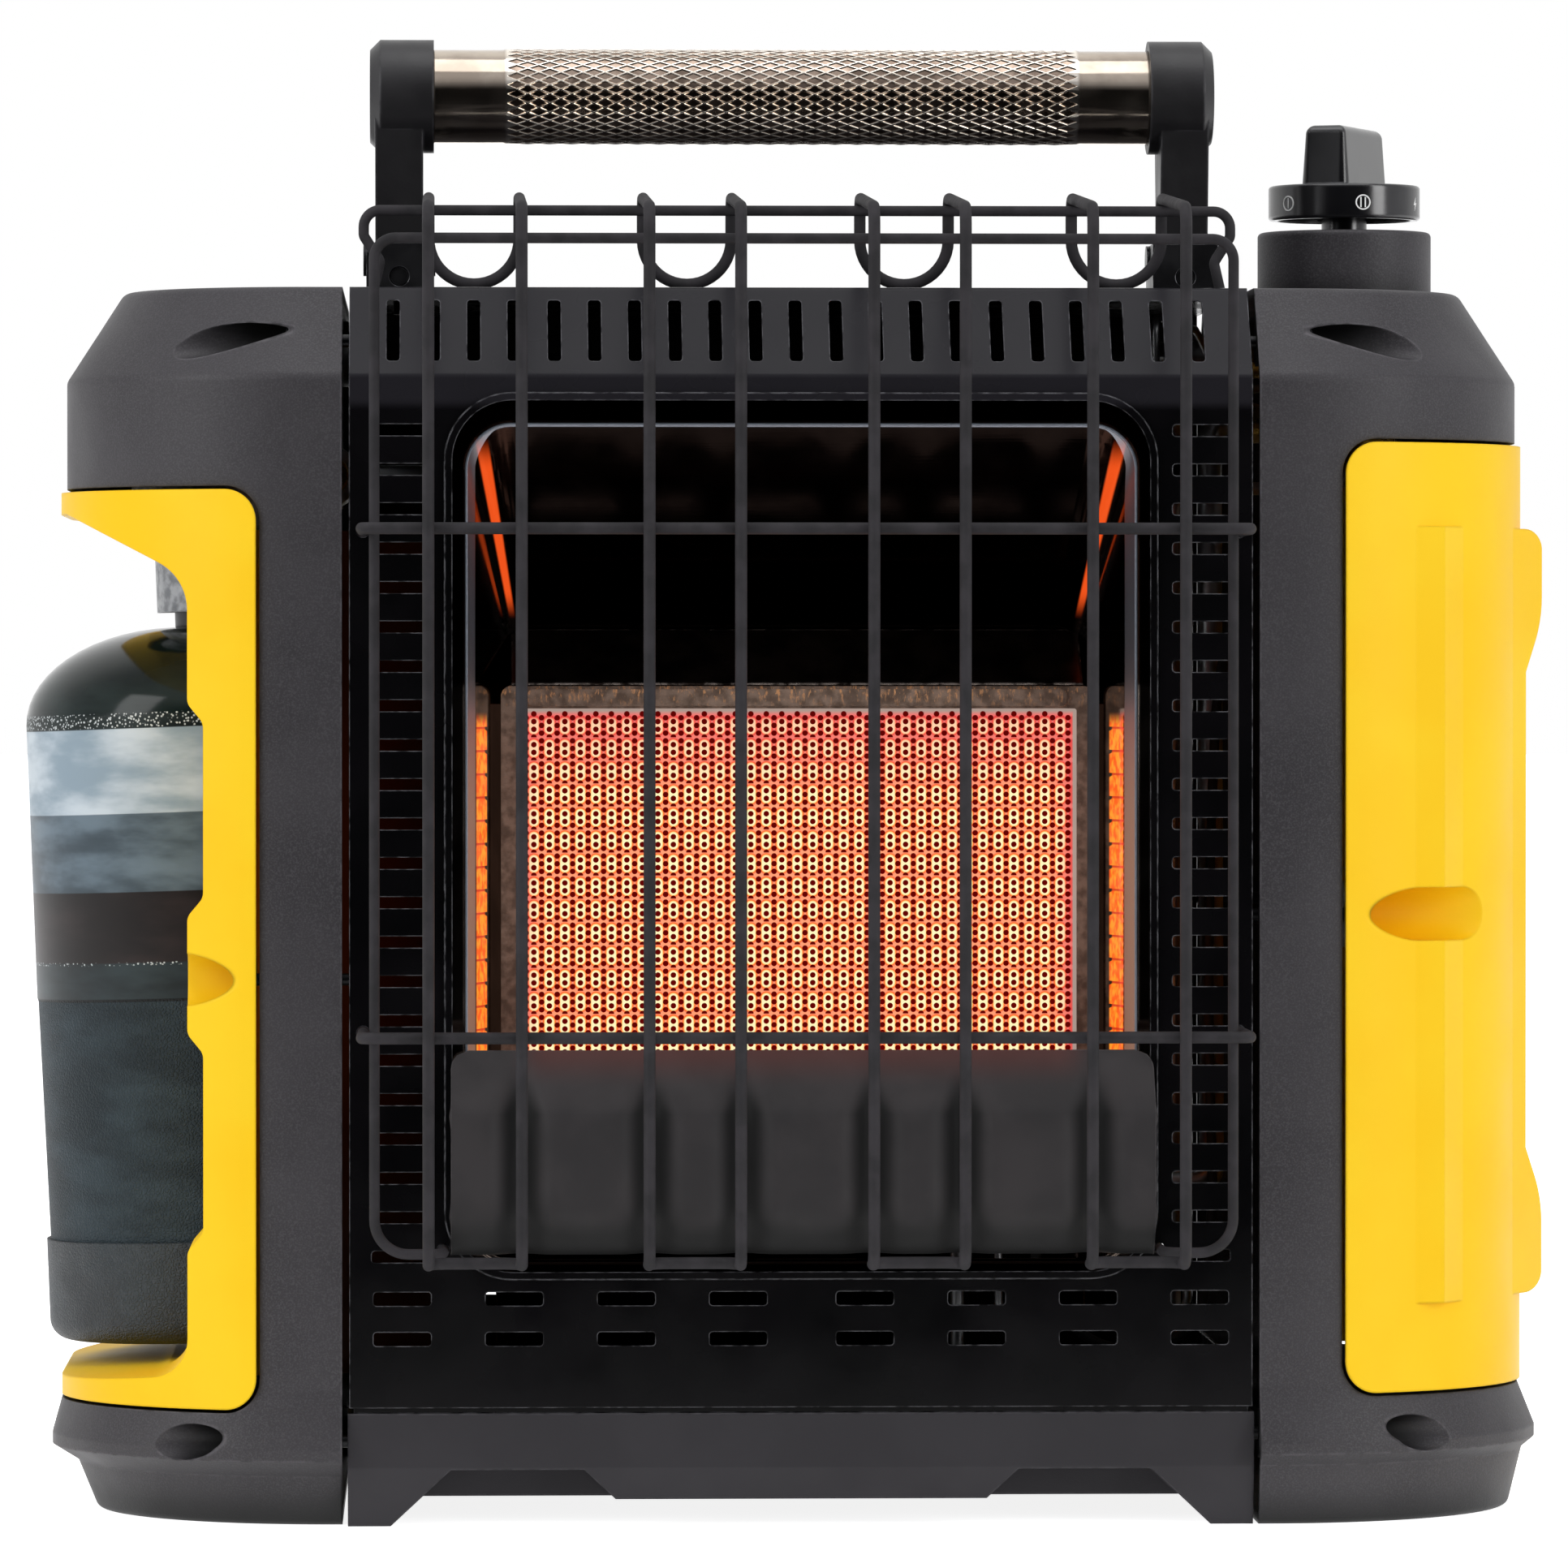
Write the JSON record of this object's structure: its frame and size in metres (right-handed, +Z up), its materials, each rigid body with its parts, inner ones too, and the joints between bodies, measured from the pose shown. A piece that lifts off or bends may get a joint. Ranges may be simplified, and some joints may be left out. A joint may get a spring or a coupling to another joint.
{
  "type": "portable propane heater",
  "caption": "Radiant gas heater: black sheet housing between two moulded towers, ceramic burner behind a wire guard, gas cylinder in a side bay, control knob and fold-back handle.",
  "frame": {"origin": "on the ground, in the middle of the whole heater's box", "axes": "+X to the right of someone facing the burner, +Y to the back, +Z up"},
  "size_m": [0.3694, 0.2343, 0.3562],
  "materials": {
    "tower_plastic": "fine-grained dark grey moulding",
    "yellow_plastic": "satin yellow moulding",
    "black_enamel": "semi-gloss black enamel",
    "polished_steel": "polished, heat-tinted",
    "soot_steel": "heat-stained sheet steel",
    "ceramic_white": "drilled ceramic, matt",
    "fibre_gasket": "pressed fibre",
    "deflector_enamel": "grey heat-proof paint",
    "guard_wire": "satin charcoal coating",
    "cylinder_paint": "gloss dark green",
    "cup_plastic": "textured dark green",
    "cast_zinc": "die-cast, matt",
    "zinc_steel": "zinc-plated",
    "brass": "machined",
    "gas_tube_metal": "drawn tube",
    "black_plastic": "satin black moulding",
    "knurled_nickel": "nickel-plated, diamond knurl",
    "electrode_ceramic": "glazed ceramic rod",
    "lead_rubber": "matt"
  },
  "bodies": {
    "body": {"base_front_bar": "tower_plastic", "base_pan": "black_enamel", "base_rear_bar": "tower_plastic", "bracket_screws": "zinc_steel", "burner_frame": "soot_steel", "burner_plenum": "soot_steel", "ceramic_tile": "ceramic_white", "control_boss": "tower_plastic", "feed_tube": "gas_tube_metal", "front_panel": "black_enamel", "gas_jet": "brass", "guard_crossbars": "guard_wire", "guard_hairpins": "guard_wire", "guard_side_frame": "guard_wire", "guard_top_bar": "guard_wire", "handle_pins": "zinc_steel", "heat_shield": "soot_steel", "knob_spring": "zinc_steel", "left_bay_tub": "yellow_plastic", "left_handle_bracket": "zinc_steel", "left_tower_screws": "zinc_steel", "left_tower_shell": "tower_plastic", "lower_deflector": "deflector_enamel", "main_gas_tube": "gas_tube_metal", "piezo_igniter": "black_plastic", "pilot_bracket": "soot_steel", "pilot_burner": "brass", "pilot_tube": "gas_tube_metal", "rear_panel": "black_enamel", "reflector_bowl": "polished_steel", "reflector_canopy": "soot_steel", "right_handle_bracket": "zinc_steel", "right_hose_panel": "yellow_plastic", "right_tower_screws": "zinc_steel", "right_tower_shell": "tower_plastic", "spark_electrode": "electrode_ceramic", "spark_lead": "lead_rubber", "swivel_bracket": "zinc_steel", "swivel_tube": "brass", "thermocouple": "gas_tube_metal", "tile_gasket": "fibre_gasket", "tip_switch_case": "zinc_steel", "valve_body": "brass", "valve_bracket": "zinc_steel", "venturi_tube": "soot_steel"},
    "handle": {"handle_tube": "knurled_nickel", "left_handle_arm": "black_plastic", "right_handle_arm": "black_plastic"},
    "plunger": {"thrust_washer": "zinc_steel"},
    "knob": {"knob": "black_plastic", "knob_stem": "zinc_steel"},
    "regulator": {"regulator": "cast_zinc"},
    "cylinder": {"cylinder_body": "cylinder_paint", "cylinder_foot_cup": "cup_plastic", "cylinder_neck": "cylinder_paint"},
    "tip_weight": {"tip_switch_weight": "zinc_steel"}
  },
  "joints": [
    {"name": "handle_fold", "type": "hinge", "parent": "body", "child": "handle", "pos_m": [0, -0.00875, 0.3025], "axis": [-1, 0, 0], "range_deg": [0, 75]},
    {"name": "valve_push", "type": "slide", "parent": "body", "child": "plunger", "axis": [0, 0, -1], "range_m": [0, 0.0024], "stiffness_N_per_m": 1500, "springref_m": -0.004, "deforming": ["knob_spring"]},
    {"name": "knob_turn", "type": "hinge", "parent": "plunger", "child": "knob", "pos_m": [0.1381, 0.02225, 0.3026], "axis": [0, 0, 1], "range_deg": [-120, 60]},
    {"name": "regulator_swivel", "type": "hinge", "parent": "body", "child": "regulator", "pos_m": [-0.113, 0.02225, 0.2505], "axis": [0, 1, 0], "range_deg": [0, 15]},
    {"name": "cylinder_turn", "type": "hinge", "parent": "regulator", "child": "cylinder", "pos_m": [-0.14048, 0.02225, 0.24942], "axis": [-0.0393, 0, 0.9992], "continuous": true},
    {"name": "tip_swing", "type": "hinge", "parent": "body", "child": "tip_weight", "pos_m": [0.046, 0.05025, 0.0569], "axis": [0, 1, 0], "range_deg": [-14, 14]}
  ]
}
